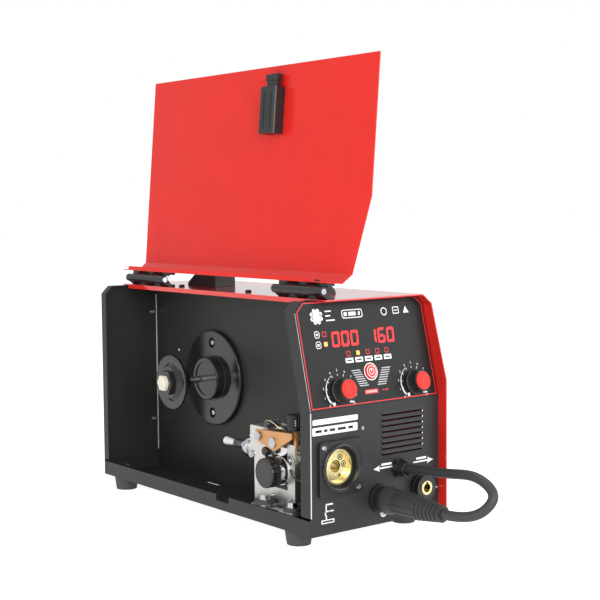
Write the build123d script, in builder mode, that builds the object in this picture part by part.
from build123d import *
import os
from math import atan2, cos, degrees, radians, sin, sqrt

# MIG welding machine with an open wire compartment.
# Row frame: origin on the floor under the middle of the case. -Y is the front, +Z is up,
# and the wire compartment with its door is on the -X side. All sizes are millimetres.

# ---------------------------------------------------------------- driving dimensions
WIDTH = 175.0            # over the closed side door and the right side of the cover
LENGTH = 400.0           # front panel face to rear panel face
HEIGHT = 230.0           # underside of the case to the top of the cover
FOOT_HEIGHT = 15.0
SHEET = 1.2              # steel sheet of tray, divider, cover and door
PANEL = 1.5              # front and rear panel thickness
GAP = 0.3                # air between closed door or cover and the black case
CORNER = 10.0            # 45 degree corner along both top edges
BEND = 123.3             # height where the front panel starts to lean back
LEAN = 26.5              # how far the panel leans back over its whole height
HOOD = 11.5              # how far cover and door stand out in front of the panel
HOOD_BEND = 141.4        # height of the bend in the front edge of cover and door
HOOD_LEAN = 25.1
SILL = 16.0              # upturned side edges of the base tray
SEAM_X = 32.1            # line on the top where door and cover meet
LIP = 5.0                # folded edges along that seam
HINGE_RISE = 8.5         # hinge axis above the top of the cover
DOOR_SWING = 184.9       # from closed to standing open
DIVIDER_X = 77.0         # left face of the wall between the two compartments
SPOOL_Y = 269.5          # spool axis, from the front panel
SPOOL_Z = 124.2
WIRE_X = 37.5            # the wire runs straight to the torch socket
WIRE_Z = 65.5
ROLLER_R = 15.0
ROLLER_Y = 82.0
PLUS_X = 90.0            # positive output socket
PLUS_Z = 27.0
MINUS_X = 147.7          # negative output socket
MINUS_Z = 30.6
GLAND_X = 117.0          # polarity lead leaves the case here
GLAND_Z = 54.6
CABLE_R = 4.9
FAN_SIZE = 80.0
FAN_X = 127.0
FAN_Z = 130.0

# ---------------------------------------------------------------- frames and helpers
LEFT = -WIDTH / 2
FRONT = -LENGTH / 2
TILT = degrees(atan2(LEAN, HEIGHT - BEND))
CASE_L = SHEET + GAP                     # left face of the black case
CASE_R = WIDTH - SHEET - GAP             # right face of the black case
CASE_TOP = HEIGHT - SHEET - GAP
HINGE_Z = HEIGHT + HINGE_RISE
CENTRE_MIN = (Align.CENTER, Align.CENTER, Align.MIN)


def case(x, y, z):
    """A point given from the left side, the front face and the underside of the case."""
    return (LEFT + x, FRONT + y, FOOT_HEIGHT + z)


def side_plane(x):
    """Sketch plane across the machine: its coordinates are (y, z), it extrudes to the right."""
    return Plane(origin=case(x, 0, 0), x_dir=(0, 1, 0), z_dir=(1, 0, 0))


def front_plane(y):
    """Sketch plane facing the front: its coordinates are (x, z), it extrudes forwards."""
    return Plane(origin=case(0, y, 0), x_dir=(1, 0, 0), z_dir=(0, -1, 0))


def top_plane(z):
    """Level sketch plane: its coordinates are (x, y), it extrudes upwards."""
    return Plane(origin=case(0, 0, z), x_dir=(1, 0, 0), z_dir=(0, 0, 1))


# The leaning control panel: coordinates are across from the left side, up the slope from
# the bend, and out of the face.
SLOPE = Plane(
    origin=case(0, 0, BEND),
    x_dir=(1, 0, 0),
    z_dir=(0, -cos(radians(TILT)), sin(radians(TILT))),
)


def block(low, high, mode=Mode.ADD):
    """A box between two corners given in case coordinates."""
    middle = [(a + b) / 2 for a, b in zip(low, high)]
    with Locations(case(*middle)):
        Box(*[b - a for a, b in zip(low, high)], mode=mode)


def rod(start, direction, radius, length, mode=Mode.ADD):
    """A cylinder that starts at a case point and runs along a direction."""
    with Locations(Plane(origin=case(*start), z_dir=direction)):
        Cylinder(radius, length, align=CENTRE_MIN, mode=mode)


def tube(start, direction, outer, inner, length):
    """A cylinder with a bore along its whole length."""
    rod(start, direction, outer, length)
    rod(start, direction, inner, length, mode=Mode.SUBTRACT)


def cone(start, direction, base, tip, length, mode=Mode.ADD):
    with Locations(Plane(origin=case(*start), z_dir=direction)):
        Cone(base, tip, length, align=CENTRE_MIN, mode=mode)


def on_slope(x, v, out):
    """Where something stands on the control panel."""
    return SLOPE * Location((x, v, out))


def slope_rod(x, v, radius, low, high, mode=Mode.ADD):
    with Locations(on_slope(x, v, low)):
        Cylinder(radius, high - low, align=CENTRE_MIN, mode=mode)


def slope_block(x, v, across, up, low, high, mode=Mode.ADD):
    with Locations(on_slope(x, v, low)):
        Box(across, up, high - low, align=CENTRE_MIN, mode=mode)


def lean_outline(front, bend, lean, low, rear):
    """Side outline: straight up to the bend, then leaning back to the top of the case."""
    Polygon(
        (front, low), (front, bend), (front + lean, HEIGHT), (rear, HEIGHT), (rear, low),
        align=None,
    )


def case_outline(inset):
    """Front outline of the black case with its two cut top corners."""
    left = CASE_L + inset
    right = CASE_R - inset
    top = CASE_TOP - inset
    cut = CORNER - (SHEET + GAP) * (2 - sqrt(2)) - inset * (2 - sqrt(2))
    Polygon(
        (left, -inset), (left, top - cut), (left + cut, top), (right - cut, top),
        (right, top - cut), (right, -inset),
        align=None,
    )


def pan_screw(start, direction, head_r=3.4, shank_r=1.9, length=7.0):
    """Pan head screw with a cross recess. start is the underside of its head."""
    head = head_r * 0.62
    with Locations(Plane(origin=case(*start), z_dir=direction)):
        Cylinder(shank_r, length, align=(Align.CENTER, Align.CENTER, Align.MAX))
        Cone(head_r, head_r * 0.72, head, align=CENTRE_MIN)
    with Locations(Plane(origin=case(*start), z_dir=direction) * Location((0, 0, head))):
        Box(head_r * 0.95, head_r * 0.24, head, mode=Mode.SUBTRACT)
        Box(head_r * 0.24, head_r * 0.95, head, mode=Mode.SUBTRACT)


def drill(points, direction, radius, depth=12.0):
    """Through holes for a set of screws."""
    for point in points:
        with Locations(Plane(origin=case(*point), z_dir=direction)):
            Cylinder(radius, 2 * depth, mode=Mode.SUBTRACT)


os.makedirs("parts", exist_ok=True)

# Fasteners: the underside of each head, in case coordinates.
SCREW_R = 1.9
SMALL_R = 1.4
TOP_SCREWS = [(51.0, y, HEIGHT) for y in (36.0, 167.5, 299.0)]
HINGE_SPANS = (16.0, 306.0)
HINGE_LENGTH = 80.0
LEAF_SCREW = 10.5
LEAF_FOOT = 2.5
BODY_LEAF_SCREWS = [
    (SEAM_X + LEAF_SCREW, start + along, HEIGHT + LEAF_FOOT)
    for start in HINGE_SPANS
    for along in (24.0, 56.0)
]
DOOR_LEAF_SCREWS = [
    (SEAM_X - LEAF_SCREW, start + along, HEIGHT - SHEET)
    for start in HINGE_SPANS
    for along in (24.0, 56.0)
]
SIDE_SCREWS = [(WIDTH, y, SILL / 2) for y in (60.0, 340.0)]
TAB_SCREWS = [(71.0, LENGTH - PANEL - SHEET, z) for z in (60.6, 193.9)]
REAR_SCREWS = [(x, LENGTH, 7.0) for x in (32.0, 143.0)]
FAN_SCREWS = [
    (FAN_X + dx, LENGTH, FAN_Z + dz) for dx in (-35.7, 35.7) for dz in (-35.7, 35.7)
]
EURO_SCREWS = [(WIRE_X - 22.0, -3.5, WIRE_Z + 22.0), (WIRE_X + 22.0, -3.5, WIRE_Z - 22.0)]
SPOOL_SCREW_SEAT = 2.2   # from the divider to the screw heads that hold the spool flange
SPOOL_SCREWS = [(DIVIDER_X - SPOOL_SCREW_SEAT, SPOOL_Y, SPOOL_Z + dz) for dz in (41.0, -41.0)]
HANDLE_X = WIDTH / 2
HANDLE_SCREWS = [(HANDLE_X, y, HEIGHT + 3.0) for y in (96.0, 304.0)]
FOOT_INSET = 16.0
FEET = [(x, y) for x in (FOOT_INSET, WIDTH - FOOT_INSET) for y in (38.0, 373.0)]
FOOT_SCREWS = [(x, y, -6.0) for x, y in FEET]
FEEDER_BOLTS = [(13.0, 45.0), (13.0, 91.0)]
FEEDER_BOLT_R = 2.9
INSULATOR_R = (9.2, 11.0)
NOTCH_Y = (139.4, 162.6)       # gap in the left sill for the door latch

# ---------------------------------------------------------------- base tray
with BuildPart() as base_tray:
    block((CASE_L, PANEL, 0), (CASE_R, LENGTH - PANEL, SHEET))
    for low_x in (CASE_L, CASE_R - SHEET):
        block((low_x, PANEL, SHEET), (low_x + SHEET, LENGTH - PANEL, SILL))
    for low_y in (PANEL, LENGTH - PANEL - SHEET):
        block((CASE_L + SHEET, low_y, SHEET), (CASE_R - SHEET, low_y + SHEET, 12.0))
    # Notch that lets the door latch in behind the sill.
    block((CASE_L - 1, NOTCH_Y[0], 9.3), (CASE_L + SHEET + 1, NOTCH_Y[1], SILL + 1), mode=Mode.SUBTRACT)
    drill(FOOT_SCREWS, (0, 0, 1), SCREW_R, 9.0)
    drill([(x, y, 0) for x, y in FEEDER_BOLTS], (0, 0, 1), FEEDER_BOLT_R, 3.0)
    drill(SIDE_SCREWS, (1, 0, 0), SCREW_R)
    drill(REAR_SCREWS, (0, 1, 0), SCREW_R)
    # Air slots under the power electronics, and one drain slot in the wire compartment.
    for slot_y in range(150, 341, 19):
        block((100, slot_y, -1), (155, slot_y + 4, SHEET + 1), mode=Mode.SUBTRACT)
    block((66, 251, -1), (70, 278, SHEET + 1), mode=Mode.SUBTRACT)
base_tray.part.label = "base_tray"
export_step(base_tray.part, "parts/base_tray.step")

# ---------------------------------------------------------------- front panel
FLANGE = 16.0
FLANGE_FOOT = SILL + 2.7
PANEL_RISE = 1 / cos(radians(TILT))

with BuildPart() as front_hollow:
    with BuildSketch(side_plane(CASE_L + SHEET)):
        lean_outline(PANEL, BEND, LEAN, -1, LENGTH)
    extrude(amount=CASE_R - CASE_L - 2 * SHEET)
    with BuildSketch(front_plane(LENGTH)):
        case_outline(SHEET)
    extrude(amount=LENGTH, mode=Mode.INTERSECT)

EURO_HOLE_R = 21.5
SOCKET_BODY_R = 10.5
GLAND_BODY_R = 7.5
BUTTON_X = 86.3
BUTTON_V = 33.2
BUTTON_R = 7.5
KNOBS = {"left": (42.3, 17.4), "right": (141.8, 16.9)}
DISPLAYS = ((61.0, 69.2), (111.2, 69.0))
DISPLAY_SIZE = (37.8, 19.0)
LED_SIZE = 3.6
LEDS = [(34.0, 75.0), (34.0, 65.0)] + [(60.7 + 12.8 * i, 53.4) for i in range(5)]
LOUVRES = 8
LOUVRE_PITCH = 5.8

with BuildPart() as front_panel:
    with BuildSketch(side_plane(CASE_L)):
        lean_outline(0, BEND, LEAN, 0, LENGTH)
    extrude(amount=CASE_R - CASE_L)
    with BuildSketch(front_plane(LENGTH)):
        case_outline(0)
    extrude(amount=LENGTH, mode=Mode.INTERSECT)
    with BuildSketch(side_plane(0)):
        lean_outline(FLANGE, BEND, LEAN, -1, LENGTH + 1)
    extrude(amount=WIDTH, mode=Mode.SUBTRACT)
    add(front_hollow.part, mode=Mode.SUBTRACT)
    # The side flanges stop above the sills of the tray.
    for low_x in (CASE_L - 1, CASE_R - SHEET):
        block((low_x, PANEL, -1), (low_x + SHEET + 1, FLANGE + 1, FLANGE_FOOT), mode=Mode.SUBTRACT)
    rod((WIRE_X, PANEL + 1, WIRE_Z), (0, -1, 0), EURO_HOLE_R, 4, mode=Mode.SUBTRACT)
    rod((PLUS_X, PANEL + 1, PLUS_Z), (0, -1, 0), SOCKET_BODY_R, 4, mode=Mode.SUBTRACT)
    rod((MINUS_X, PANEL + 1, MINUS_Z), (0, -1, 0), SOCKET_BODY_R, 4, mode=Mode.SUBTRACT)
    rod((GLAND_X, PANEL + 1, GLAND_Z), (0, -1, 0), GLAND_BODY_R, 4, mode=Mode.SUBTRACT)
    drill(EURO_SCREWS, (0, 1, 0), SMALL_R)
    drill(TOP_SCREWS + BODY_LEAF_SCREWS, (0, 0, 1), SCREW_R)
    # Room for the heads of the door's hinge screws when the door is shut.
    drill(DOOR_LEAF_SCREWS, (0, 0, 1), 4.4)
    # Pressed air louvres: a slot with a hood above it.
    for row in range(LOUVRES):
        sill_z = 71.3 + row * LOUVRE_PITCH
        block((94, -1, sill_z - 2.0), (150, PANEL + 1, sill_z), mode=Mode.SUBTRACT)
        with BuildSketch(side_plane(94)):
            Polygon((0, sill_z), (0, sill_z + 2.6), (-1.4, sill_z), align=None)
        extrude(amount=56)
    for x, v in DISPLAYS:
        slope_block(x, v, DISPLAY_SIZE[0], DISPLAY_SIZE[1], -4, 1, mode=Mode.SUBTRACT)
    for x, v in LEDS:
        slope_block(x, v, LED_SIZE, LED_SIZE, -4, 1, mode=Mode.SUBTRACT)
    for x, v in KNOBS.values():
        slope_rod(x, v, 3.6, -4, 1, mode=Mode.SUBTRACT)
    slope_rod(BUTTON_X, BUTTON_V, BUTTON_R + 0.3, -4, 1, mode=Mode.SUBTRACT)
front_panel.part.label = "front_panel"
export_step(front_panel.part, "parts/front_panel.step")

# ---------------------------------------------------------------- rear panel
REAR_FLANGE = 10.0
SWITCH = (106.0, 203.0)
SWITCH_SIZE = (26.0, 21.0)
MAINS = (152.0, 202.0)
MAINS_R = 7.0
GAS = (104.0, 48.0)
GAS_R = 5.0

with BuildPart() as rear_panel:
    with BuildSketch(front_plane(LENGTH)):
        case_outline(0)
    extrude(amount=REAR_FLANGE)
    with BuildSketch(front_plane(LENGTH - PANEL)):
        case_outline(SHEET)
    extrude(amount=REAR_FLANGE, mode=Mode.SUBTRACT)
    for low_x in (CASE_L - 1, CASE_R - SHEET):
        block(
            (low_x, LENGTH - REAR_FLANGE - 1, -1),
            (low_x + SHEET + 1, LENGTH - PANEL, FLANGE_FOOT),
            mode=Mode.SUBTRACT,
        )
    # Fan grille: level slots that fill a circle.
    for step in range(-4, 5):
        half = sqrt(37.0**2 - (8.0 * step) ** 2)
        with BuildSketch(front_plane(LENGTH + 1)):
            with Locations((FAN_X, FAN_Z + 8.0 * step)):
                SlotOverall(2 * half, 4.4)
        extrude(amount=PANEL + 2, mode=Mode.SUBTRACT)
    block(
        (SWITCH[0] - SWITCH_SIZE[0] / 2, LENGTH - PANEL - 1, SWITCH[1] - SWITCH_SIZE[1] / 2),
        (SWITCH[0] + SWITCH_SIZE[0] / 2, LENGTH + 1, SWITCH[1] + SWITCH_SIZE[1] / 2),
        mode=Mode.SUBTRACT,
    )
    rod((MAINS[0], LENGTH + 1, MAINS[1]), (0, -1, 0), MAINS_R, 4, mode=Mode.SUBTRACT)
    rod((GAS[0], LENGTH + 1, GAS[1]), (0, -1, 0), GAS_R, 4, mode=Mode.SUBTRACT)
    drill(REAR_SCREWS + FAN_SCREWS + TAB_SCREWS, (0, 1, 0), SCREW_R, 7.0)
rear_panel.part.label = "rear_panel"
export_step(rear_panel.part, "parts/rear_panel.step")

# ---------------------------------------------------------------- top cover
LIP_START = 46.0
LIP_END = 389.0
COVER_EDGE = SEAM_X + 0.3
HIDDEN = SHEET * (2 - sqrt(2))


def angle_sheet(edge, corner_x, far_x, sign):
    """Sheet section: lip at the seam, level top, cut corner, then straight down the side."""
    Polygon(
        (edge, HEIGHT - LIP),
        (edge, HEIGHT),
        (corner_x, HEIGHT),
        (far_x, HEIGHT - CORNER),
        (far_x, 0),
        (far_x - sign * SHEET, 0),
        (far_x - sign * SHEET, HEIGHT - CORNER - SHEET + HIDDEN),
        (corner_x - sign * SHEET + sign * HIDDEN, HEIGHT - SHEET),
        (edge + sign * SHEET, HEIGHT - SHEET),
        (edge + sign * SHEET, HEIGHT - LIP),
        align=None,
    )


with BuildPart() as top_cover:
    with BuildSketch(front_plane(LENGTH)):
        angle_sheet(COVER_EDGE, WIDTH - CORNER, WIDTH, 1)
    extrude(amount=LENGTH + HOOD)
    with BuildSketch(side_plane(0)):
        lean_outline(-HOOD, HOOD_BEND, HOOD_LEAN, 0, LENGTH)
    extrude(amount=WIDTH, mode=Mode.INTERSECT)
    for low_y, high_y in ((-HOOD - 1, LIP_START), (LIP_END, LENGTH + 1)):
        block(
            (COVER_EDGE - 1, low_y, HEIGHT - LIP - 1),
            (COVER_EDGE + SHEET, high_y, HEIGHT - SHEET),
            mode=Mode.SUBTRACT,
        )
    drill(TOP_SCREWS + BODY_LEAF_SCREWS + HANDLE_SCREWS, (0, 0, 1), SCREW_R)
    drill(SIDE_SCREWS, (1, 0, 0), SCREW_R)
    # Air slots low in the right side.
    for slot_y in range(110, 291, 12):
        block((WIDTH - 2, slot_y, 40), (WIDTH + 1, slot_y + 4, 92), mode=Mode.SUBTRACT)
top_cover.part.label = "top_cover"
export_step(top_cover.part, "parts/top_cover.step")

# ---------------------------------------------------------------- divider wall
MOTOR_HOLE_R = 19.5
SHAFT_R = 5.0
TOP_FLANGE_X = 42.0
DIVIDER_SETBACK = 14.0   # behind the front panel, clear of the control board

with BuildPart() as divider_wall:
    with BuildSketch(side_plane(DIVIDER_X)):
        lean_outline(DIVIDER_SETBACK, BEND, LEAN, SHEET, LENGTH - PANEL - SHEET)
    extrude(amount=SHEET)
    block((0, 0, CASE_TOP + GAP), (WIDTH, LENGTH, HEIGHT + 1), mode=Mode.SUBTRACT)
    # Rear end passes inside the flange of the rear panel.
    block(
        (DIVIDER_X - 1, LENGTH - REAR_FLANGE - 1, CASE_TOP - SHEET - 1),
        (DIVIDER_X + SHEET + 1, LENGTH, HEIGHT),
        mode=Mode.SUBTRACT,
    )
    block(
        (DIVIDER_X - 1, 0, CASE_TOP - SHEET - 1),
        (DIVIDER_X + SHEET + 1, FLANGE + LEAN + 1, HEIGHT),
        mode=Mode.SUBTRACT,
    )
    block((DIVIDER_X + SHEET, 60, SHEET), (DIVIDER_X + 13, 380, 2 * SHEET))
    block((TOP_FLANGE_X, LIP_START + 2, HEIGHT - 2 * SHEET), (DIVIDER_X, LIP_END - 1, HEIGHT - SHEET))
    block((65, LENGTH - PANEL - SHEET, 22), (DIVIDER_X + SHEET, LENGTH - PANEL, 215))
    rod((DIVIDER_X - 1, ROLLER_Y, WIRE_Z - ROLLER_R), (1, 0, 0), MOTOR_HOLE_R, 4, mode=Mode.SUBTRACT)
    rod((DIVIDER_X - 1, SPOOL_Y, SPOOL_Z), (1, 0, 0), SHAFT_R, 4, mode=Mode.SUBTRACT)
    drill(SPOOL_SCREWS, (1, 0, 0), SCREW_R)
    drill(TAB_SCREWS, (0, 1, 0), SCREW_R, 4.0)
    drill(TOP_SCREWS + BODY_LEAF_SCREWS, (0, 0, 1), SCREW_R)
divider_wall.part.label = "divider_wall"
export_step(divider_wall.part, "parts/divider_wall.step")

# ---------------------------------------------------------------- side door and its hinges
# Door pieces are drawn closed, then turned about the hinge axis to stand open.
HINGE_POINT = case(SEAM_X, 0, HINGE_Z)
OPEN = (
    Location(HINGE_POINT)
    * Location((0, 0, 0), (0, DOOR_SWING, 0))
    * Location(tuple(-value for value in HINGE_POINT))
)
LATCH_Y = 151.0
LATCH_W = 27.0
LATCH_LOW = 24.0
LATCH_HIGH = 74.0
LATCH_DEEP = 15.0

with BuildPart() as door_blank:
    with BuildSketch(front_plane(LENGTH)):
        angle_sheet(SEAM_X - 0.3, CORNER, 0, -1)
    extrude(amount=LENGTH + HOOD)
    with BuildSketch(side_plane(-1)):
        lean_outline(-HOOD, HOOD_BEND, HOOD_LEAN, 0, LENGTH)
    extrude(amount=WIDTH, mode=Mode.INTERSECT)
    for low_y, high_y in ((-HOOD - 1, LIP_START), (LIP_END, LENGTH + 1)):
        block(
            (SEAM_X - 0.3 - SHEET, low_y, HEIGHT - LIP - 1),
            (SEAM_X + 1, high_y, HEIGHT - SHEET),
            mode=Mode.SUBTRACT,
        )
    block(
        (-1, LATCH_Y - LATCH_W / 2 + 2, LATCH_LOW + 2),
        (SHEET + 1, LATCH_Y + LATCH_W / 2 - 2, LATCH_HIGH - 2),
        mode=Mode.SUBTRACT,
    )
    drill(DOOR_LEAF_SCREWS, (0, 0, 1), SCREW_R)

with BuildPart() as side_door:
    with Locations(OPEN):
        add(door_blank.part)
side_door.part.label = "side_door"
export_step(side_door.part, "parts/side_door.step")

BARREL_R = 4.5
PIN_R = 2.0
KNUCKLES = 5
KNUCKLE_GAP = 0.3
FOOT_END = 14.0
FOOT_START = 5.4


def hinge_leaf(start, sign, own_knuckles, bore_r):
    """One leaf of a hinge. sign is +1 for the leaf on the cover and -1 for the door's."""
    rise = HINGE_RISE
    pitch = HINGE_LENGTH / KNUCKLES
    with BuildSketch(front_plane(start + HINGE_LENGTH)) as foot:
        Polygon(
            (SEAM_X + sign * FOOT_START, HINGE_Z - rise),
            (SEAM_X + sign * FOOT_END, HINGE_Z - rise),
            (SEAM_X + sign * FOOT_END, HINGE_Z - rise + LEAF_FOOT),
            (SEAM_X + sign * 7.5, HINGE_Z - rise + LEAF_FOOT),
            (SEAM_X + sign * FOOT_START, HINGE_Z - rise + 4.2),
            align=None,
        )
    extrude(foot.sketch, amount=HINGE_LENGTH)
    for index in own_knuckles:
        low = start + index * pitch + KNUCKLE_GAP / 2
        length = pitch - KNUCKLE_GAP
        rod((SEAM_X, low, HINGE_Z), (0, 1, 0), BARREL_R, length)
        with BuildSketch(front_plane(low + length)) as web:
            Polygon(
                (SEAM_X, HINGE_Z - BARREL_R),
                (SEAM_X + sign * FOOT_START, HINGE_Z - rise),
                (SEAM_X + sign * 9.0, HINGE_Z - rise + LEAF_FOOT),
                (SEAM_X + sign * BARREL_R, HINGE_Z),
                (SEAM_X, HINGE_Z),
                align=None,
            )
        extrude(web.sketch, amount=length)
    rod((SEAM_X, start - 1, HINGE_Z), (0, 1, 0), bore_r, HINGE_LENGTH + 2, mode=Mode.SUBTRACT)


with BuildPart() as hinge_body_leaves:
    for span in HINGE_SPANS:
        hinge_leaf(span, 1, (0, 2, 4), PIN_R)
    drill(BODY_LEAF_SCREWS, (0, 0, 1), SCREW_R, 6.0)
hinge_body_leaves.part.label = "hinge_body_leaves"
export_step(hinge_body_leaves.part, "parts/hinge_body_leaves.step")

with BuildPart() as door_leaf_blank:
    for span in HINGE_SPANS:
        hinge_leaf(span, -1, (1, 3), PIN_R + 0.05)
    drill(DOOR_LEAF_SCREWS, (0, 0, 1), SCREW_R, 7.0)

with BuildPart() as hinge_door_leaves:
    with Locations(OPEN):
        add(door_leaf_blank.part)
hinge_door_leaves.part.label = "hinge_door_leaves"
export_step(hinge_door_leaves.part, "parts/hinge_door_leaves.step")

with BuildPart() as hinge_pins:
    for span in HINGE_SPANS:
        rod((SEAM_X, span, HINGE_Z), (0, 1, 0), PIN_R, HINGE_LENGTH)
        for end_y, direction in ((span, -1), (span + HINGE_LENGTH, 1)):
            rod((SEAM_X, end_y, HINGE_Z), (0, direction, 0), PIN_R + 1, 0.8)
hinge_pins.part.label = "hinge_pins"
export_step(hinge_pins.part, "parts/hinge_pins.step")

with BuildPart() as door_screw_blank:
    for point in DOOR_LEAF_SCREWS:
        pan_screw(point, (0, 0, -1), head_r=3.0, length=SHEET + LEAF_FOOT)

with BuildPart() as door_screws:
    with Locations(OPEN):
        add(door_screw_blank.part)
door_screws.part.label = "door_screws"
export_step(door_screws.part, "parts/door_screws.step")

# ---------------------------------------------------------------- door latch
SLIDE_GAP = 0.3
LATCH_WALL = 3.0
NECK_HALF = 9.0
NECK_X = (5.0, 9.0)

with BuildPart() as latch_blank:
    block((SHEET, LATCH_Y - LATCH_W / 2, LATCH_LOW), (LATCH_DEEP, LATCH_Y + LATCH_W / 2, LATCH_HIGH))
    edges_inside = latch_blank.edges().filter_by(Axis.Z).group_by(Axis.X)[-1]
    fillet(edges_inside, 3.0)
    block(
        (0, LATCH_Y - LATCH_W / 2 + 2, LATCH_LOW + 2),
        (SHEET, LATCH_Y + LATCH_W / 2 - 2, LATCH_HIGH - 2),
    )
    block(
        (-1.2, LATCH_Y - LATCH_W / 2 - 2, LATCH_LOW - 2),
        (0, LATCH_Y + LATCH_W / 2 + 2, LATCH_HIGH + 2),
    )
    block(
        (-2, LATCH_Y - LATCH_W / 2 + LATCH_WALL, LATCH_LOW + LATCH_WALL),
        (LATCH_DEEP - 2.5, LATCH_Y + LATCH_W / 2 - LATCH_WALL, LATCH_HIGH - LATCH_WALL),
        mode=Mode.SUBTRACT,
    )
    block(
        (NECK_X[0] - SLIDE_GAP, LATCH_Y - NECK_HALF - SLIDE_GAP, LATCH_LOW - 1),
        (NECK_X[1] + SLIDE_GAP, LATCH_Y + NECK_HALF + SLIDE_GAP, LATCH_LOW + LATCH_WALL + 1),
        mode=Mode.SUBTRACT,
    )
    # Shallow guide ribs on the inner face of the housing.
    for rib in (-6.0, 6.0):
        block(
            (LATCH_DEEP, LATCH_Y + rib - 1, LATCH_LOW + 6),
            (LATCH_DEEP + 0.8, LATCH_Y + rib + 1, LATCH_HIGH - 6),
        )

with BuildPart() as latch_housing:
    with Locations(OPEN):
        add(latch_blank.part)
latch_housing.part.label = "latch_housing"
export_step(latch_housing.part, "parts/latch_housing.step")

with BuildPart() as slider_blank:
    half = LATCH_W / 2 - LATCH_WALL - SLIDE_GAP
    block((0.5, LATCH_Y - half, LATCH_LOW + 9.5), (LATCH_DEEP - 3, LATCH_Y + half, LATCH_HIGH - 12))
    block((NECK_X[0], LATCH_Y - NECK_HALF, 16), (NECK_X[1], LATCH_Y + NECK_HALF, LATCH_LOW + 9.5))
    block((3.6, LATCH_Y - NECK_HALF - 1, 10), (NECK_X[1] + 1, LATCH_Y + NECK_HALF + 1, 17))
    # Finger ridges that face outwards.
    for groove in range(4):
        block(
            (0, LATCH_Y - half - 1, 42 + groove * 5),
            (1.5, LATCH_Y + half + 1, 44 + groove * 5),
            mode=Mode.SUBTRACT,
        )

with BuildPart() as latch_slider:
    with Locations(OPEN):
        add(slider_blank.part)
latch_slider.part.label = "latch_slider"
export_step(latch_slider.part, "parts/latch_slider.step")

# ---------------------------------------------------------------- carry handle
HANDLE_START = 80.0
HANDLE_END = 320.0
HANDLE_FEET = (137.0, 263.0)    # inner ends of the two feet
HANDLE_TOP = 46.0
HANDLE_W = 28.0

with BuildPart() as carry_handle:
    with BuildSketch(side_plane(HANDLE_X - HANDLE_W / 2)):
        with BuildLine():
            Line((HANDLE_START, HEIGHT), (HANDLE_START, HEIGHT + 6))
            ThreePointArc(
                (HANDLE_START, HEIGHT + 6), (LENGTH / 2, HEIGHT + HANDLE_TOP), (HANDLE_END, HEIGHT + 6)
            )
            Line((HANDLE_END, HEIGHT + 6), (HANDLE_END, HEIGHT))
            Line((HANDLE_END, HEIGHT), (HANDLE_FEET[1], HEIGHT))
            Line((HANDLE_FEET[1], HEIGHT), (HANDLE_FEET[1], HEIGHT + 16))
            ThreePointArc(
                (HANDLE_FEET[1], HEIGHT + 16), (LENGTH / 2, HEIGHT + 28), (HANDLE_FEET[0], HEIGHT + 16)
            )
            Line((HANDLE_FEET[0], HEIGHT + 16), (HANDLE_FEET[0], HEIGHT))
            Line((HANDLE_FEET[0], HEIGHT), (HANDLE_START, HEIGHT))
        make_face()
    extrude(amount=HANDLE_W)
    long_edges = carry_handle.edges().filter_by(GeomType.CIRCLE)
    fillet(long_edges, 4.5)
    for x, y, z in HANDLE_SCREWS:
        rod((x, y, z), (0, 0, 1), 5.0, 40, mode=Mode.SUBTRACT)
        rod((x, y, HEIGHT - 1), (0, 0, 1), SCREW_R, 10, mode=Mode.SUBTRACT)
carry_handle.part.label = "carry_handle"
export_step(carry_handle.part, "parts/carry_handle.step")

# ---------------------------------------------------------------- feet
with BuildPart() as rubber_feet:
    for x, y in FEET:
        cone((x, y, -FOOT_HEIGHT), (0, 0, 1), 12.2, 14.4, FOOT_HEIGHT)
        rod((x, y, -FOOT_HEIGHT), (0, 0, 1), 5.0, FOOT_HEIGHT - 6.0, mode=Mode.SUBTRACT)
        rod((x, y, -FOOT_HEIGHT), (0, 0, 1), SCREW_R, FOOT_HEIGHT, mode=Mode.SUBTRACT)
rubber_feet.part.label = "rubber_feet"
export_step(rubber_feet.part, "parts/rubber_feet.step")

# ---------------------------------------------------------------- screws of the case
with BuildPart() as case_screws:
    for point in TOP_SCREWS:
        pan_screw(point, (0, 0, 1), head_r=3.8, length=5.0)
    for point in BODY_LEAF_SCREWS:
        pan_screw(point, (0, 0, 1), head_r=2.9, length=LEAF_FOOT + 4.0)
    for point in HANDLE_SCREWS:
        pan_screw(point, (0, 0, 1), length=8.0)
    for point in SIDE_SCREWS:
        pan_screw(point, (1, 0, 0), head_r=3.8)
    for point in REAR_SCREWS + FAN_SCREWS:
        pan_screw(point, (0, 1, 0), head_r=3.8)
    for point in TAB_SCREWS:
        pan_screw(point, (0, -1, 0), length=SHEET + PANEL)
    for point in SPOOL_SCREWS:
        pan_screw(point, (-1, 0, 0), head_r=3.6, length=SPOOL_SCREW_SEAT + SHEET)
    for point in EURO_SCREWS:
        pan_screw(point, (0, -1, 0), head_r=2.7, shank_r=SMALL_R, length=3.5 + PANEL)
    for point in FOOT_SCREWS:
        pan_screw(point, (0, 0, -1), head_r=3.8, length=6.0 + SHEET)
case_screws.part.label = "case_screws"
export_step(case_screws.part, "parts/case_screws.step")

# ---------------------------------------------------------------- control panel
OVERLAY = 0.5
OVERLAY_TOP = (CASE_TOP - BEND) * PANEL_RISE - 0.6
OVERLAY_CUT = 9.4

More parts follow.
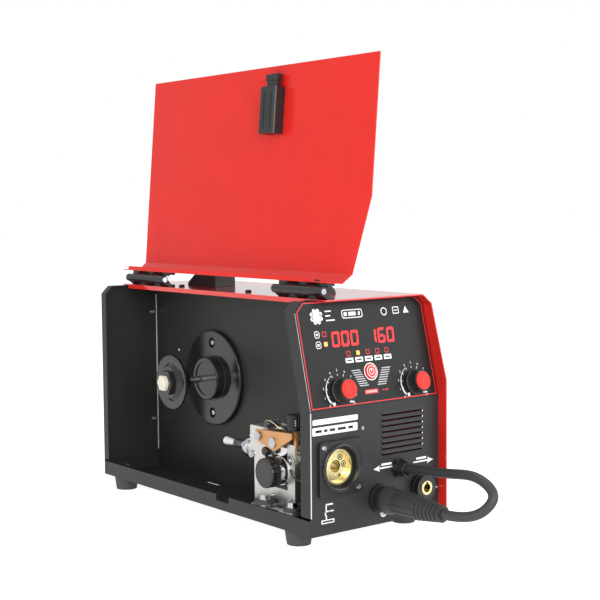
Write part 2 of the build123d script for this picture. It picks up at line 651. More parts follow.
with BuildPart() as control_overlay:
    with BuildSketch(SLOPE):
        Polygon(
            (CASE_L + 0.5, 0.6),
            (CASE_R - 0.5, 0.6),
            (CASE_R - 0.5, OVERLAY_TOP - OVERLAY_CUT),
            (CASE_R - 0.5 - CORNER + 0.9, OVERLAY_TOP),
            (CASE_L + 0.5 + CORNER - 0.9, OVERLAY_TOP),
            (CASE_L + 0.5, OVERLAY_TOP - OVERLAY_CUT),
            align=None,
        )
        with Locations(*KNOBS.values()):
            Circle(3.6, mode=Mode.SUBTRACT)
        with Locations((BUTTON_X, BUTTON_V)):
            Circle(BUTTON_R + 0.3, mode=Mode.SUBTRACT)
    extrude(amount=OVERLAY)
control_overlay.part.label = "control_overlay"
export_step(control_overlay.part, "parts/control_overlay.step")

BOARD_OUT = -9.5
BOARD_THICK = 1.6

with BuildPart() as display_modules:
    for x, v in DISPLAYS:
        slope_block(x, v, DISPLAY_SIZE[0], DISPLAY_SIZE[1], BOARD_OUT, 0)
display_modules.part.label = "display_modules"
export_step(display_modules.part, "parts/display_modules.step")

with BuildPart() as indicator_leds:
    for x, v in LEDS:
        slope_block(x, v, LED_SIZE, LED_SIZE, BOARD_OUT, 0)
indicator_leds.part.label = "indicator_leds"
export_step(indicator_leds.part, "parts/indicator_leds.step")

with BuildPart() as control_board:
    slope_block(WIDTH / 2, 52, 144, 92, BOARD_OUT - BOARD_THICK, BOARD_OUT)
    for x in (22.0, 153.0):
        for v in (10.0, 94.0):
            slope_rod(x, v, 1.6, BOARD_OUT - BOARD_THICK - 1, BOARD_OUT + 1, mode=Mode.SUBTRACT)
control_board.part.label = "control_board"
export_step(control_board.part, "parts/control_board.step")

SPINDLE_R = 3.0
RUN = 0.05               # running clearance on a radius
BUSH_TOP = 5.0

with BuildPart() as potentiometers:
    for x, v in KNOBS.values():
        slope_rod(x, v, 8.2, BOARD_OUT, -PANEL * 1.1)
        slope_rod(x, v, 3.6, -PANEL * 1.1, BUSH_TOP)
        slope_rod(x, v, 5.6, OVERLAY, 2.6)
        slope_rod(x, v, SPINDLE_R + RUN, -6.5, BUSH_TOP + 1, mode=Mode.SUBTRACT)
potentiometers.part.label = "potentiometers"
export_step(potentiometers.part, "parts/potentiometers.step")

KNOB_LOW = 1.0
KNOB_TOP = 14.6
CAP_R = 9.25
FLUTES = 20


def knob_body(x, v):
    """Fluted black knob, hollow underneath, with its spindle as a second solid."""
    foot = on_slope(x, v, 0).position
    with BuildSketch(Plane(origin=foot, x_dir=SLOPE.x_dir, z_dir=-SLOPE.y_dir)) as profile:
        Polygon(
            (SPINDLE_R, 13.0), (SPINDLE_R, 6.5), (7.0, 6.5), (7.0, KNOB_LOW), (12.4, KNOB_LOW),
            (12.4, 3.2), (11.3, 4.4), (10.4, KNOB_TOP), (0, KNOB_TOP), (0, 13.0),
            align=None,
        )
    revolve(profile.sketch, axis=Axis(foot, SLOPE.z_dir))
    with Locations(on_slope(x, v, 4.6)):
        with PolarLocations(11.6, FLUTES):
            Cylinder(0.75, 12, align=CENTRE_MIN, mode=Mode.SUBTRACT)


def knob_spindle(x, v):
    slope_rod(x, v, SPINDLE_R, -6.0, 13.0)


def knob_cap(x, v):
    """Red disc set on the knob's face, with a rounded rim."""
    slope_rod(x, v, CAP_R, KNOB_TOP, KNOB_TOP + 1.3)


with BuildPart() as knob_left:
    knob_body(*KNOBS["left"])
    knob_spindle(*KNOBS["left"])
knob_left.part.label = "knob_left"
export_step(knob_left.part, "parts/knob_left.step")

with BuildPart() as knob_cap_left:
    knob_cap(*KNOBS["left"])
knob_cap_left.part.label = "knob_cap_left"
export_step(knob_cap_left.part, "parts/knob_cap_left.step")

with BuildPart() as knob_right:
    knob_body(*KNOBS["right"])
    knob_spindle(*KNOBS["right"])
knob_right.part.label = "knob_right"
export_step(knob_right.part, "parts/knob_right.step")

with BuildPart() as knob_cap_right:
    knob_cap(*KNOBS["right"])
knob_cap_right.part.label = "knob_cap_right"
export_step(knob_cap_right.part, "parts/knob_cap_right.step")

with BuildPart() as mode_button:
    slope_rod(BUTTON_X, BUTTON_V, BUTTON_R, -7.5, 2.0)
    top_rim = mode_button.edges().filter_by(GeomType.CIRCLE).sort_by(Axis.Z)[-1:]
    fillet(top_rim, 0.7)
mode_button.part.label = "mode_button"
export_step(mode_button.part, "parts/mode_button.step")

# ---------------------------------------------------------------- torch socket
BRASS_R = 18.4
BRASS_FACE = 0.8         # rim of the brass cup, lying back inside its collar
BRASS_FLOOR = 6.0
BRASS_CUP_R = 15.8
BRASS_BACK = 20.0
COLLAR_BORE_R = 20.6
COLLAR_R = 24.0
EURO_PLATE = 3.5
EURO_SIZE = 55.0
GUIDE_R = 3.0
SLEEVE_R = 6.4           # bore for the centre sleeve of the torch plug

with BuildPart() as euro_flange:
    with BuildSketch(front_plane(0)):
        with Locations((WIRE_X, WIRE_Z)):
            RectangleRounded(EURO_SIZE, EURO_SIZE, 4)
    extrude(amount=EURO_PLATE)
    rod((WIRE_X, -EURO_PLATE, WIRE_Z), (0, -1, 0), COLLAR_R, 1.6)
    rim = euro_flange.edges().filter_by(GeomType.CIRCLE).sort_by(Axis.Y)[:1]
    chamfer(rim, 0.8)
    rod((WIRE_X, 12, WIRE_Z), (0, -1, 0), EURO_HOLE_R, 12)
    rod((WIRE_X, 20, WIRE_Z), (0, -1, 0), BRASS_R, 40, mode=Mode.SUBTRACT)
    rod((WIRE_X, BRASS_FACE, WIRE_Z), (0, -1, 0), COLLAR_BORE_R, 10, mode=Mode.SUBTRACT)
    drill(EURO_SCREWS, (0, 1, 0), SMALL_R)
euro_flange.part.label = "euro_flange"
export_step(euro_flange.part, "parts/euro_flange.step")

CONTACTS = ((6.0, 8.6), (10.4, 1.4))

with BuildPart() as euro_socket:
    rod((WIRE_X, BRASS_BACK, WIRE_Z), (0, -1, 0), BRASS_R, BRASS_BACK - BRASS_FACE)
    face_rim = euro_socket.edges().filter_by(GeomType.CIRCLE).sort_by(Axis.Y)[:1]
    chamfer(face_rim, 0.6)
    rod((WIRE_X, BRASS_BACK, WIRE_Z), (0, 1, 0), 8.0, 10)
    rod((WIRE_X, BRASS_FLOOR, WIRE_Z), (0, -1, 0), BRASS_CUP_R, 10, mode=Mode.SUBTRACT)
    # The bore for the torch sleeve and the wire runs right through.
    rod((WIRE_X, BRASS_FLOOR, WIRE_Z), (0, 1, 0), SLEEVE_R, 36, mode=Mode.SUBTRACT)
    rod((WIRE_X + 5.0, BRASS_FLOOR, WIRE_Z - 9.6), (0, 1, 0), 1.7, 9, mode=Mode.SUBTRACT)
    for dx, dz in CONTACTS:
        rod((WIRE_X + dx, BRASS_FLOOR, WIRE_Z + dz), (0, 1, 0), 2.7, 9, mode=Mode.SUBTRACT)
    for dx, dz in CONTACTS:
        tube((WIRE_X + dx, BRASS_FLOOR - 0.4, WIRE_Z + dz), (0, 1, 0), 2.2, 1.2, 9.4)
euro_socket.part.label = "euro_socket"
export_step(euro_socket.part, "parts/euro_socket.step")

# ---------------------------------------------------------------- output sockets and lead
CONTACT_R = 7.3
PIN_BORE = 4.6
OUTPUTS = ((PLUS_X, PLUS_Z), (MINUS_X, MINUS_Z))

with BuildPart() as output_socket_shells:
    for x, z in OUTPUTS:
        rod((x, 0, z), (0, -1, 0), 14.5, 4.0)
        rod((x, -4, z), (0, -1, 0), 13.0, 5.5)
        rod((x, 0, z), (0, 1, 0), SOCKET_BODY_R, 34)
        rod((x, -11, z), (0, 1, 0), CONTACT_R, 46, mode=Mode.SUBTRACT)
output_socket_shells.part.label = "output_socket_shells"
export_step(output_socket_shells.part, "parts/output_socket_shells.step")

with BuildPart() as output_socket_contacts:
    for x, z in OUTPUTS:
        rod((x, -10.2, z), (0, 1, 0), CONTACT_R, 44.2)
        rod((x, 34, z), (0, 1, 0), 4.0, 12)
        rod((x, -11, z), (0, 1, 0), PIN_BORE, 34, mode=Mode.SUBTRACT)
        block((x - 1.2, -11, z), (x + 1.2, 4, z + 6.2), mode=Mode.SUBTRACT)
output_socket_contacts.part.label = "output_socket_contacts"
export_step(output_socket_contacts.part, "parts/output_socket_contacts.step")

PLUG_FACE = -10.4
PLUG_END = -62.0
BOOT_END = -92.0
BOOT_RIBS = 6

with BuildPart() as polarity_plug:
    cone((PLUS_X, PLUG_FACE, PLUS_Z), (0, -1, 0), 13.0, 14.2, 6)
    cone((PLUS_X, PLUG_FACE - 6, PLUS_Z), (0, -1, 0), 14.2, 12.4, 12)
    cone((PLUS_X, PLUG_FACE - 18, PLUS_Z), (0, -1, 0), 12.4, 11.6, PLUG_FACE - 18 - PLUG_END)
    boot = PLUG_END - BOOT_END
    cone((PLUS_X, PLUG_END, PLUS_Z), (0, -1, 0), 10.6, 7.0, boot)
    for rib in range(BOOT_RIBS):
        share = (rib + 0.4) / BOOT_RIBS
        rod((PLUS_X, PLUG_END - share * boot, PLUS_Z), (0, -1, 0), 11.5 - 3.5 * share, 2.6)
    rod((PLUS_X, BOOT_END - 1, PLUS_Z), (0, 1, 0), CABLE_R + 0.5, 20, mode=Mode.SUBTRACT)
    # The brass pin that sits in the positive socket.
    rod((PLUS_X, PLUG_FACE, PLUS_Z), (0, 1, 0), PIN_BORE, 24)
polarity_plug.part.label = "polarity_plug"
export_step(polarity_plug.part, "parts/polarity_plug.step")

with BuildPart() as polarity_cable:
    with BuildLine() as lead:
        Spline(
            case(GLAND_X, 8, GLAND_Z),
            case(GLAND_X, -30, GLAND_Z + 2),
            case(GLAND_X - 1.5, -82, GLAND_Z + 6.4),
            case(GLAND_X - 4.5, -125, GLAND_Z + 5),
            case(GLAND_X - 7.5, -138.5, GLAND_Z - 6),
            case(PLUS_X + 12.5, -134, PLUS_Z + 9.5),
            case(PLUS_X + 5, -118, PLUS_Z + 1.6),
            case(PLUS_X + 0.4, BOOT_END - 6, PLUS_Z),
            case(PLUS_X, BOOT_END + 16, PLUS_Z),
            tangents=((0, -1, 0), (0, 1, 0)),
        )
    with BuildSketch(Plane(origin=lead.line @ 0, z_dir=lead.line % 0)):
        Circle(CABLE_R)
    sweep()
polarity_cable.part.label = "polarity_cable"
export_step(polarity_cable.part, "parts/polarity_cable.step")

with BuildPart() as cable_gland:
    with BuildSketch(front_plane(0)):
        with Locations((GLAND_X, GLAND_Z)):
            RegularPolygon(10.5, 6)
    extrude(amount=4)
    cone((GLAND_X, -4, GLAND_Z), (0, -1, 0), 9.2, 7.4, 6)
    rod((GLAND_X, 0, GLAND_Z), (0, 1, 0), GLAND_BODY_R, 7)
    rod((GLAND_X, 12, GLAND_Z), (0, -1, 0), CABLE_R + 0.9, 24, mode=Mode.SUBTRACT)
cable_gland.part.label = "cable_gland"
export_step(cable_gland.part, "parts/cable_gland.step")

# ---------------------------------------------------------------- wire feeder
ROLLER_Z = WIRE_Z - ROLLER_R
PRESS_Z = ROLLER_Z + 2 * ROLLER_R + 0.4
ROLLER_X = (27.0, 42.0)
FRAME_BACK = (46.0, 56.0)
DRIVE_SHAFT_R = 4.0
ARM_PIVOT = (106.0, 85.0)
ARM_PIN_R = 3.0
ARM_X = (18.0, 45.6)
ARM_SHEET = 2.0
LEVER_Y = 62.0
LEVER_Z = 76.0
LEVER_X = 31.8
LEVER_R = 2.5
BASE_LOW = 14.0          # the casting stands on insulators, this far above the tray's underside
BASE_HIGH = 17.0

with BuildPart() as feeder_frame:
    block((FRAME_BACK[0], 54, BASE_LOW), (FRAME_BACK[1], 133, 95))
    block((24, 54, BASE_LOW), (FRAME_BACK[0], 123, 33))
    # Inlet post with its ear for the arm pivot and a lug for the guide screw.
    block((24, 104, 33), (FRAME_BACK[0], 123, 76))
    block((24, 104, 68), (42.6, 130, 93))
    block((24, 99, 76), (42.6, 104, 93))
    block((24, 93, 64), (26.8, 104, 76))
    rod((WIRE_X, 120, WIRE_Z), (0, 1, 0), 9.5, 30)
    # Outlet post, forked for the tension lever.
    block((24, 54, 33), (FRAME_BACK[0], 66, LEVER_Z + 5))
    block((LEVER_X - 4, 50, WIRE_Z + 4.6), (LEVER_X + 4, 70, LEVER_Z + 10), mode=Mode.SUBTRACT)
    for x, y in FEEDER_BOLTS:
        block((4, y - 11, BASE_LOW), (24, y + 11, BASE_HIGH))
    block((24, 34, BASE_LOW), (FRAME_BACK[1], 54, BASE_HIGH))
    upright = feeder_frame.edges().filter_by(Axis.X).filter_by(
        lambda edge: edge.center().Z > case(0, 0, 90)[2]
    )
    fillet(upright, 2.0)
    rod((20, ROLLER_Y, ROLLER_Z), (1, 0, 0), ROLLER_R + 1.5, FRAME_BACK[0] - 20, mode=Mode.SUBTRACT)
    rod((20, ROLLER_Y, ROLLER_Z), (1, 0, 0), DRIVE_SHAFT_R + RUN, 40, mode=Mode.SUBTRACT)
    rod((20, ARM_PIVOT[0], ARM_PIVOT[1]), (1, 0, 0), ARM_PIN_R, 30, mode=Mode.SUBTRACT)
    rod((20, LEVER_Y, LEVER_Z), (1, 0, 0), 2.0, 26, mode=Mode.SUBTRACT)
    rod((WIRE_X, 152, WIRE_Z), (0, -1, 0), GUIDE_R, 60, mode=Mode.SUBTRACT)
    rod((WIRE_X, 72, WIRE_Z), (0, -1, 0), GUIDE_R, 30, mode=Mode.SUBTRACT)
    for x, y in FEEDER_BOLTS:
        rod((x, y, 5), (0, 0, 1), FEEDER_BOLT_R, 16, mode=Mode.SUBTRACT)
    # The arm swings clear of the back plate.
    block((42.6, 50, 70), (ARM_X[1] + 0.5, 131, 96), mode=Mode.SUBTRACT)
feeder_frame.part.label = "feeder_frame"
export_step(feeder_frame.part, "parts/feeder_frame.step")

WASHER_SEAT = 20.6
WASHER = 1.2

with BuildPart() as feeder_insulators:
    for (x, y), radius in zip(FEEDER_BOLTS, INSULATOR_R):
        tube((x, y, SHEET), (0, 0, 1), 9.0, FEEDER_BOLT_R, BASE_LOW - SHEET)
        tube((x, y, BASE_HIGH), (0, 0, 1), radius, FEEDER_BOLT_R, WASHER_SEAT - BASE_HIGH)
feeder_insulators.part.label = "feeder_insulators"
export_step(feeder_insulators.part, "parts/feeder_insulators.step")

with BuildPart() as feeder_bolts:
    for x, y in FEEDER_BOLTS:
        rod((x, y, 0), (0, 0, 1), FEEDER_BOLT_R, WASHER_SEAT)
        rod((x, y, WASHER_SEAT), (0, 0, 1), 6.0, WASHER)
        with BuildSketch(top_plane(WASHER_SEAT + WASHER)):
            with Locations((x, y)):
                RegularPolygon(5.4, 6)
        extrude(amount=4.4)
    # Pivot pin of the pressure arm and hinge pin of the tension lever.
    rod((ARM_X[0] - 1, ARM_PIVOT[0], ARM_PIVOT[1]), (1, 0, 0), ARM_PIN_R, 28.4)
    rod((ARM_X[0] - 3, ARM_PIVOT[0], ARM_PIVOT[1]), (1, 0, 0), 4.6, 2)
    rod((24, LEVER_Y, LEVER_Z), (1, 0, 0), 2.0, 18)
feeder_bolts.part.label = "feeder_bolts"
export_step(feeder_bolts.part, "parts/feeder_bolts.step")

with BuildPart() as wire_guides:
    rod((WIRE_X, 99, WIRE_Z), (0, 1, 0), GUIDE_R, 77)
    rod((WIRE_X, 150, WIRE_Z), (0, 1, 0), 4.2, 9)
    cone((WIRE_X, 176, WIRE_Z), (0, 1, 0), GUIDE_R, 4.4, 17)
    rod((WIRE_X, 30, WIRE_Z), (0, 1, 0), GUIDE_R, 36)
    rod((WIRE_X, 20, WIRE_Z), (0, 1, 0), 1.2, 180, mode=Mode.SUBTRACT)
wire_guides.part.label = "wire_guides"
export_step(wire_guides.part, "parts/wire_guides.step")

with BuildPart() as feed_motor:
    block((FRAME_BACK[1], ROLLER_Y - 20, 30), (DIVIDER_X, ROLLER_Y + 24, 74))
    rod((DIVIDER_X, ROLLER_Y, ROLLER_Z), (1, 0, 0), MOTOR_HOLE_R - 0.5, 8)
    rod((DIVIDER_X + 8, ROLLER_Y, ROLLER_Z), (1, 0, 0), 21.0, 58)
    rod((DIVIDER_X + 66, ROLLER_Y, ROLLER_Z), (1, 0, 0), 8.0, 4)
    rod((FRAME_BACK[1], ROLLER_Y, ROLLER_Z), (1, 0, 0), DRIVE_SHAFT_R + RUN, 6, mode=Mode.SUBTRACT)
feed_motor.part.label = "feed_motor"
export_step(feed_motor.part, "parts/feed_motor.step")

CAP_X = (5.6, 17.6)

with BuildPart() as drive_shaft:
    rod((CAP_X[0] + 4, ROLLER_Y, ROLLER_Z), (1, 0, 0), DRIVE_SHAFT_R, FRAME_BACK[1] + 5 - CAP_X[0] - 4)
drive_shaft.part.label = "drive_shaft"
export_step(drive_shaft.part, "parts/drive_shaft.step")


with BuildPart() as drive_roller:
    tube((ROLLER_X[0], ROLLER_Y, ROLLER_Z), (1, 0, 0), ROLLER_R, DRIVE_SHAFT_R, 15)
    tube((CAP_X[1], ROLLER_Y, ROLLER_Z), (1, 0, 0), 14.2, DRIVE_SHAFT_R, ROLLER_X[0] - CAP_X[1])
drive_roller.part.label = "drive_roller"
export_step(drive_roller.part, "parts/drive_roller.step")

with BuildPart() as roller_cap:
    rod((CAP_X[0], ROLLER_Y, ROLLER_Z), (1, 0, 0), 15.5, CAP_X[1] - CAP_X[0])
    rims = roller_cap.edges().filter_by(GeomType.CIRCLE)
    fillet(rims, 1.6)
    with Locations(Plane(origin=case(CAP_X[0] + 4, ROLLER_Y, ROLLER_Z), z_dir=(1, 0, 0))):
        with PolarLocations(16.3, 36):
            Cylinder(1.1, 20, align=CENTRE_MIN, mode=Mode.SUBTRACT)
    rod((CAP_X[0] + 4, ROLLER_Y, ROLLER_Z), (1, 0, 0), DRIVE_SHAFT_R, 20, mode=Mode.SUBTRACT)
roller_cap.part.label = "roller_cap"
export_step(roller_cap.part, "parts/roller_cap.step")

ARM_TIP = 51.0
ARM_TOP = 92.0
ARM_SHEET_TOP = ARM_TOP - 1.8
SLOT_HALF = 3.6


def arm_plate(x):
    """Side plate of the pressure arm, a flat triangle with a lug at the pivot."""
    with BuildSketch(side_plane(x)) as side:
        Polygon(
            (112, 91), (ARM_TIP, ARM_TOP + 2), (ARM_TIP, 88.4), (78.7, 73), (86.0, 73), (112, 80),
            align=None,
        )
        with Locations(ARM_PIVOT):
            Circle(ARM_PIN_R + RUN, mode=Mode.SUBTRACT)
        with Locations((ROLLER_Y, PRESS_Z)):
            Circle(3.0, mode=Mode.SUBTRACT)
    extrude(side.sketch, amount=ARM_SHEET)


with BuildPart() as pressure_arm:
    arm_plate(ARM_X[0])
    arm_plate(ARM_X[1] - ARM_SHEET)
    # Bridge between the plates, in front of the roller, with an open slot for the tension lever.
    block((ARM_X[0], LEVER_Y, ARM_SHEET_TOP), (ARM_X[1], 68.5, ARM_TOP))
    block(
        (LEVER_X - SLOT_HALF, LEVER_Y - 1, ARM_SHEET_TOP - 1),
        (LEVER_X + SLOT_HALF, 65.6, ARM_TOP + 1),
        mode=Mode.SUBTRACT,
    )
pressure_arm.part.label = "pressure_arm"
export_step(pressure_arm.part, "parts/pressure_arm.step")

with BuildPart() as pressure_axle:
    rod((ARM_X[0] - 1.2, ROLLER_Y, PRESS_Z), (1, 0, 0), 3.0, ARM_X[1] - ARM_X[0] + 1.2)
    rod((ARM_X[0] - 2.4, ROLLER_Y, PRESS_Z), (1, 0, 0), 5.6, 2.4)
pressure_axle.part.label = "pressure_axle"
export_step(pressure_axle.part, "parts/pressure_axle.step")

with BuildPart() as pressure_roller:
    tube((ROLLER_X[0], ROLLER_Y, PRESS_Z), (1, 0, 0), ROLLER_R, 3.0 + RUN, 15)
pressure_roller.part.label = "pressure_roller"
export_step(pressure_roller.part, "parts/pressure_roller.step")

KNOB_BASE = 95.0
KNOB_HEIGHT = 16.0
SPRING_BORE_R = 6.2
SPRING_DEEP = 9.0

with BuildPart() as tension_lever:
    rod((LEVER_X, LEVER_Y, LEVER_Z), (0, 0, 1), LEVER_R, KNOB_BASE + 12 - LEVER_Z)
    rod((LEVER_X - 3.7, LEVER_Y, LEVER_Z), (1, 0, 0), 4.2, 7.4)
    rod((LEVER_X - 5, LEVER_Y, LEVER_Z), (1, 0, 0), 2.0 + RUN, 10, mode=Mode.SUBTRACT)
tension_lever.part.label = "tension_lever"
export_step(tension_lever.part, "parts/tension_lever.step")

COILS = 3
SPRING_TURN = 2.3

with BuildPart() as tension_spring:
    with BuildLine() as coil:
        Helix(
            pitch=SPRING_TURN, height=COILS * SPRING_TURN, radius=4.6,
            center=case(LEVER_X, LEVER_Y, KNOB_BASE + 1.0),
        )
    with BuildSketch(Plane(origin=coil.line @ 0, z_dir=coil.line % 0)):
        Circle(0.7)
    sweep()
tension_spring.part.label = "tension_spring"
export_step(tension_spring.part, "parts/tension_spring.step")

with BuildPart() as tension_knob:
    rod((LEVER_X, LEVER_Y, KNOB_BASE), (0, 0, 1), 8.5, KNOB_HEIGHT)
    knob_rim = tension_knob.edges().filter_by(GeomType.CIRCLE).sort_by(Axis.Z)[-1:]
    fillet(knob_rim, 1.5)
    with Locations(case(LEVER_X, LEVER_Y, KNOB_BASE + 3)):
        with PolarLocations(9.0, 16):
            Cylinder(1.0, KNOB_HEIGHT, align=CENTRE_MIN, mode=Mode.SUBTRACT)
    rod((LEVER_X, LEVER_Y, KNOB_BASE), (0, 0, 1), LEVER_R + RUN, 13, mode=Mode.SUBTRACT)
    # The spring sits in a pocket under the knob.
    rod((LEVER_X, LEVER_Y, KNOB_BASE), (0, 0, 1), SPRING_BORE_R, SPRING_DEEP, mode=Mode.SUBTRACT)
tension_knob.part.label = "tension_knob"
export_step(tension_knob.part, "parts/tension_knob.step")

# ---------------------------------------------------------------- spool holder
FLANGE_FACE = 71.8
FLANGE_R = 55.5
BOSS_FACE = 61.5
BOSS_R = 25.0
AXLE_R = 4.0
NUT_FACE = 2.6
CONE_X = (11.0, 26.0)

with BuildPart() as spool_flange:
    rod((FLANGE_FACE, SPOOL_Y, SPOOL_Z), (1, 0, 0), FLANGE_R, DIVIDER_X - FLANGE_FACE)
    flange_rim = spool_flange.edges().filter_by(GeomType.CIRCLE).sort_by(Axis.X)[:1]
    fillet(flange_rim, 1.5)
    rod((FLANGE_FACE, SPOOL_Y, SPOOL_Z), (1, 0, 0), SHAFT_R, 10, mode=Mode.SUBTRACT)
    drill(SPOOL_SCREWS, (1, 0, 0), SCREW_R, 5.0)
    for x, y, z in SPOOL_SCREWS:
        rod((FLANGE_FACE - 1, y, z), (1, 0, 0), 6.0, x - FLANGE_FACE + 1, mode=Mode.SUBTRACT)
spool_flange.part.label = "spool_flange"
export_step(spool_flange.part, "parts/spool_flange.step")

with BuildPart() as spool_shaft:
    rod((NUT_FACE + 1, SPOOL_Y, SPOOL_Z), (1, 0, 0), AXLE_R, DIVIDER_X + 12 - NUT_FACE - 1)
    rod((FLANGE_FACE, SPOOL_Y, SPOOL_Z), (1, 0, 0), SHAFT_R, DIVIDER_X + SHEET - FLANGE_FACE)
    with BuildSketch(side_plane(DIVIDER_X + SHEET)):
        with Locations((SPOOL_Y, SPOOL_Z)):
            RegularPolygon(9.0, 6)
    extrude(amount=5)
spool_shaft.part.label = "spool_shaft"
export_step(spool_shaft.part, "parts/spool_shaft.step")

with BuildPart() as spool_hub:
    # Turning boss that carries the bore of the wire spool, clear of the flange behind it.
    rod((BOSS_FACE, SPOOL_Y, SPOOL_Z), (1, 0, 0), BOSS_R, FLANGE_FACE - SLIDE_GAP - BOSS_FACE)
    boss_rim = spool_hub.edges().filter_by(GeomType.CIRCLE).sort_by(Axis.X)[:1]
    fillet(boss_rim, 1.5)
    rod((BOSS_FACE - 1, SPOOL_Y, SPOOL_Z), (1, 0, 0), 19.5, 2.2, mode=Mode.SUBTRACT)
    rod((BOSS_FACE - 1, SPOOL_Y, SPOOL_Z), (1, 0, 0), AXLE_R + RUN, 30, mode=Mode.SUBTRACT)
spool_hub.part.label = "spool_hub"
export_step(spool_hub.part, "parts/spool_hub.step")

with BuildPart() as spool_cone:
    cone((CONE_X[1], SPOOL_Y, SPOOL_Z), (-1, 0, 0), 24.0, 30.0, 8)
    rod((CONE_X[1] - 8, SPOOL_Y, SPOOL_Z), (-1, 0, 0), 30.4, 3)
    cone((CONE_X[1] - 11, SPOOL_Y, SPOOL_Z), (-1, 0, 0), 22.0, 18.0, 4)
    rod((0, SPOOL_Y, SPOOL_Z), (1, 0, 0), AXLE_R + RUN, 40, mode=Mode.SUBTRACT)
spool_cone.part.label = "spool_cone"
export_step(spool_cone.part, "parts/spool_cone.step")

with BuildPart() as spool_nut:
    with BuildSketch(side_plane(CONE_X[0] - 0.2)):
        with Locations((SPOOL_Y, SPOOL_Z)):
            RegularPolygon(15.0, 6)
    extrude(amount=-4.4)
    with BuildSketch(side_plane(NUT_FACE + 4)):
        with Locations((SPOOL_Y, SPOOL_Z)):
            RegularPolygon(9.4, 6)
    extrude(amount=-4)
    rod((NUT_FACE + 1, SPOOL_Y, SPOOL_Z), (1, 0, 0), AXLE_R + RUN, 20, mode=Mode.SUBTRACT)
spool_nut.part.label = "spool_nut"
export_step(spool_nut.part, "parts/spool_nut.step")

# ---------------------------------------------------------------- power electronics
BOARD_Z = 84.0
BOARD_Y = (150.0, 352.0)
BOARD_X = (80.0, 168.0)

with BuildPart() as inverter_board:
    block((BOARD_X[0], BOARD_Y[0], BOARD_Z), (BOARD_X[1], BOARD_Y[1], BOARD_Z + 2))
    for x in (96.0, 162.0):
        for y in (158.0, 344.0):
            foot_z = 2 * SHEET if x < 100 else SHEET
            rod((x, y, foot_z), (0, 0, 1), 3.5, BOARD_Z - foot_z)
inverter_board.part.label = "inverter_board"
export_step(inverter_board.part, "parts/inverter_board.step")

FINS = 9

with BuildPart() as heatsinks:
    for low_x in (94.0, 131.0):
        block((low_x, 262, BOARD_Z + 2), (low_x + 34, 342, BOARD_Z + 8))
        for fin in range(FINS):
            fin_x = low_x + fin * 4.0
            block((fin_x, 262, BOARD_Z + 8), (fin_x + 2, 342, BOARD_Z + 64))
heatsinks.part.label = "heatsinks"
export_step(heatsinks.part, "parts/heatsinks.step")

with BuildPart() as power_components:
    # Transformer, output choke and three filter capacitors.
    block((94, 196, BOARD_Z + 2), (152, 246, BOARD_Z + 48))
    core_edges = power_components.edges().filter_by(Axis.Y)
    fillet(core_edges, 5.0)
    tube((142, 172, BOARD_Z + 2), (0, 0, 1), 20.0, 8.0, 26)
    for x in (90.0, 111.0):
        rod((x, 176, BOARD_Z + 2), (0, 0, 1), 9.5, 40)
power_components.part.label = "power_components"
export_step(power_components.part, "parts/power_components.step")

# ---------------------------------------------------------------- cooling fan
FAN_DEEP = 25.0
FAN_BACK = LENGTH - PANEL
AXLE_FAN_R = 2.0
BLADES = 7

with BuildPart() as fan_frame:
    half = FAN_SIZE / 2
    block((FAN_X - half, FAN_BACK - FAN_DEEP, FAN_Z - half), (FAN_X + half, FAN_BACK, FAN_Z + half))
    fillet(fan_frame.edges().filter_by(Axis.Y), 3.0)
    rod((FAN_X, FAN_BACK + 1, FAN_Z), (0, -1, 0), 38.0, FAN_DEEP + 2, mode=Mode.SUBTRACT)
    with Locations(Plane(origin=case(FAN_X, FAN_BACK, FAN_Z), z_dir=(0, -1, 0))):
        with PolarLocations(26.0, 4, start_angle=45):
            Box(25, 3, 4, align=CENTRE_MIN)
    rod((FAN_X, FAN_BACK, FAN_Z), (0, -1, 0), 14.0, 4)
    rod((FAN_X, FAN_BACK + 1, FAN_Z), (0, -1, 0), AXLE_FAN_R + RUN, 8, mode=Mode.SUBTRACT)
    drill(FAN_SCREWS, (0, 1, 0), SCREW_R, 30.0)
fan_frame.part.label = "fan_frame"
export_step(fan_frame.part, "parts/fan_frame.step")

with BuildPart() as fan_rotor:
    rod((FAN_X, FAN_BACK - 5, FAN_Z), (0, -1, 0), 15.0, 18)
    rod((FAN_X, FAN_BACK - 1, FAN_Z), (0, -1, 0), AXLE_FAN_R, 6)
    with Locations(Plane(origin=case(FAN_X, FAN_BACK - 14, FAN_Z), z_dir=(0, -1, 0))):
        with PolarLocations(25.0, BLADES):
            Box(21.4, 1.6, 19, rotation=(38, 0, 0))
fan_rotor.part.label = "fan_rotor"
export_step(fan_rotor.part, "parts/fan_rotor.step")

# ---------------------------------------------------------------- gas valve, switch, mains lead
with BuildPart() as gas_valve:
    rod((GAS[0], LENGTH + 18, GAS[1]), (0, -1, 0), 3.2, 18)
    for barb in range(3):
        cone((GAS[0], LENGTH + 4 + barb * 5, GAS[1]), (0, 1, 0), 4.2, 3.2, 4)
    rod((GAS[0], LENGTH, GAS[1]), (0, -1, 0), GAS_R, 12)
    with BuildSketch(front_plane(LENGTH)):
        with Locations((GAS[0], GAS[1])):
            RegularPolygon(8.5, 6)
    extrude(amount=-3)
    block((GAS[0] - 13, 358, GAS[1] - 12), (GAS[0] + 13, 388, GAS[1] + 12))
    rod((GAS[0], 366, GAS[1] + 12), (0, 0, 1), 11.0, 20)
    rod((GAS[0], 358, GAS[1]), (0, -1, 0), 3.4, 12)
gas_valve.part.label = "gas_valve"
export_step(gas_valve.part, "parts/gas_valve.step")

ROCKER_R = 1.5

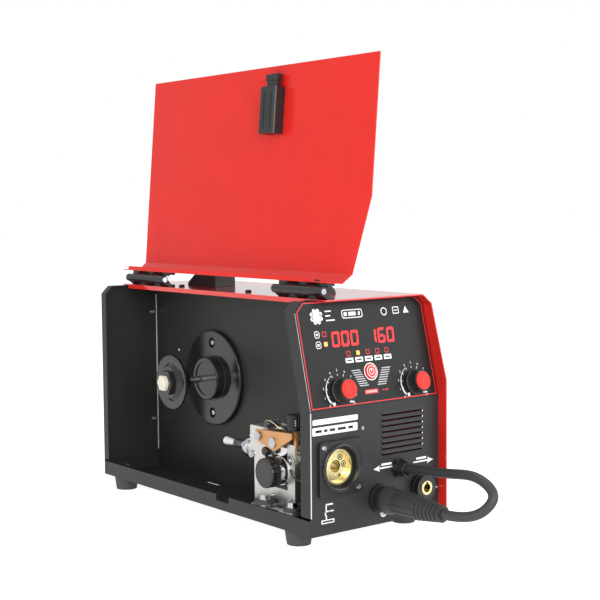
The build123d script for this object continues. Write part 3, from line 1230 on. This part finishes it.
with BuildPart() as power_switch:
    x, z = SWITCH
    w, h = SWITCH_SIZE
    block((x - w / 2, LENGTH - 26, z - h / 2), (x + w / 2, LENGTH, z + h / 2))
    block((x - w / 2 - 2, LENGTH, z - h / 2 - 2), (x + w / 2 + 2, LENGTH + 2, z + h / 2 + 2))
    block((x - 9, LENGTH - 10, z - 7.4), (x + 9, LENGTH + 3, z + 7.4), mode=Mode.SUBTRACT)
    rod((x - 10.5, LENGTH - 2, z), (1, 0, 0), ROCKER_R, 21, mode=Mode.SUBTRACT)
power_switch.part.label = "power_switch"
export_step(power_switch.part, "parts/power_switch.step")

ROCKER_TILT = 12.0

with BuildPart() as power_rocker:
    x, z = SWITCH
    tipped = Plane(
        origin=case(x - 8.6, LENGTH - 2, z),
        x_dir=(0, cos(radians(ROCKER_TILT)), sin(radians(ROCKER_TILT))),
        z_dir=(1, 0, 0),
    )
    with BuildSketch(tipped):
        Polygon((-5, -3.2), (3.6, -6.4), (4.6, 0), (3.6, 6.4), (-5, 3.2), align=None)
    extrude(amount=17.2)
    rod((x - 10.4, LENGTH - 2, z), (1, 0, 0), ROCKER_R - RUN, 20.8)
power_rocker.part.label = "power_rocker"
export_step(power_rocker.part, "parts/power_rocker.step")

CORD_R = 4.2
CORD_BEND = 24.0
MAINS_PLUG_R = 16.5
PLUG_Y = LENGTH + 46
PLUG_Z = MAINS_PLUG_R + 1 - FOOT_HEIGHT

with BuildPart() as mains_cord:
    x, z = MAINS
    with BuildSketch(front_plane(LENGTH)):
        with Locations((x, z)):
            RegularPolygon(10.0, 6)
    extrude(amount=-5)
    rod((x, LENGTH, z), (0, -1, 0), MAINS_R, 8)
    cone((x, LENGTH + 5, z), (0, 1, 0), 8.0, 5.4, 12)
    with BuildLine() as cord:
        FilletPolyline(
            case(x, LENGTH + 12, z),
            case(x, PLUG_Y, z),
            case(x, PLUG_Y, PLUG_Z),
            case(x - 36, PLUG_Y, PLUG_Z),
            radius=CORD_BEND,
        )
    with BuildSketch(Plane(origin=cord.line @ 0, z_dir=cord.line % 0)):
        Circle(CORD_R)
    sweep()
    # Moulded two-pin plug lying behind the machine.
    cone((x - 24, PLUG_Y, PLUG_Z), (-1, 0, 0), 6.0, 8.5, 14)
    rod((x - 38, PLUG_Y, PLUG_Z), (-1, 0, 0), MAINS_PLUG_R, 20)
    for side in (-9.5, 9.5):
        rod((x - 58, PLUG_Y + side, PLUG_Z), (-1, 0, 0), 2.4, 19)
mains_cord.part.label = "mains_cord"
export_step(mains_cord.part, "parts/mains_cord.step")
